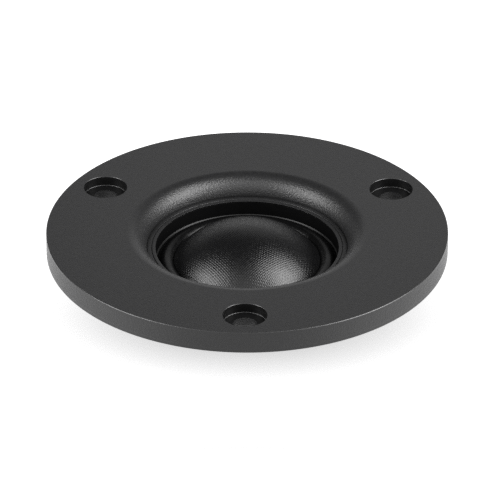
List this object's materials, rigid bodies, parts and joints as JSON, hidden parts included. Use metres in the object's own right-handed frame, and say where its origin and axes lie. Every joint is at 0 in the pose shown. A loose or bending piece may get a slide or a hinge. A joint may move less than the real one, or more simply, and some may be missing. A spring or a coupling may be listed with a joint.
{
  "type": "car tweeter",
  "caption": "Flush-mount car tweeter: woven soft dome in a flared black faceplate with counterbored screw holes, on a slim neodymium motor with rear terminals.",
  "frame": {"origin": "on the tweeter's axis, at the rear chamber's base", "axes": "+Z along the axis, out of the dome; +Y towards the terminals; the flange's front face is at z = 0.01875 m"},
  "size_m": [0.0722, 0.0722, 0.019],
  "materials": {
    "faceplate_aluminium": "bead-blasted and black anodised, satin",
    "throat_plastic": "moulded, deep matte black",
    "surround_coated_cloth": "smooth black damping coat on cloth",
    "carrier_plastic": "moulded black",
    "dome_textile": "fine black twill weave with a thin lacquer",
    "former_aluminium": "thin bare foil",
    "copper": "bare or enamelled copper",
    "plated_steel": "zinc plated, turned",
    "magnet_nickel": "sintered neodymium, nickel plated",
    "black_steel": "turned steel, black electrocoat",
    "bracket_plastic": "glass-filled nylon, fine texture",
    "screw_steel": "black zinc",
    "felt": "grey wool felt",
    "chamber_plastic": "moulded black, spark-eroded texture",
    "phenolic_board": "brown phenolic paper laminate",
    "tinned_brass": "tin plated",
    "lead_red": "red insulated tinsel lead",
    "lead_black": "black insulated tinsel lead",
    "gasket_foam": "closed-cell foam"
  },
  "bodies": {
    "frame": {"faceplate": "faceplate_aluminium", "throat_ring": "throat_plastic", "surround": "surround_coated_cloth", "diaphragm_carrier": "carrier_plastic", "copper_cap": "copper", "pole_plate": "plated_steel", "magnet": "magnet_nickel", "magnet_cup": "black_steel", "motor_bracket": "bracket_plastic", "motor_screw_1": "screw_steel", "motor_screw_2": "screw_steel", "motor_screw_3": "screw_steel", "dome_damping_pad": "felt", "rear_chamber": "chamber_plastic", "rear_chamber_felt": "felt", "terminal_board": "phenolic_board", "terminal_board_screw": "screw_steel", "terminal_positive": "tinned_brass", "terminal_negative": "tinned_brass", "terminal_rivet_positive": "tinned_brass", "terminal_rivet_negative": "tinned_brass", "lead_wire_positive": "lead_red", "lead_wire_negative": "lead_black", "baffle_gasket": "gasket_foam"},
    "diaphragm": {"dome": "dome_textile", "voice_coil_former": "former_aluminium", "voice_coil_winding": "copper"}
  },
  "joints": [
    {"name": "diaphragm_travel", "type": "slide", "parent": "frame", "child": "diaphragm", "axis": [0, 0, 1], "range_m": [-0.0005, 0.0005], "stiffness_N_per_m": 120, "deforming": ["surround", "lead_wire_positive", "lead_wire_negative"]}
  ]
}
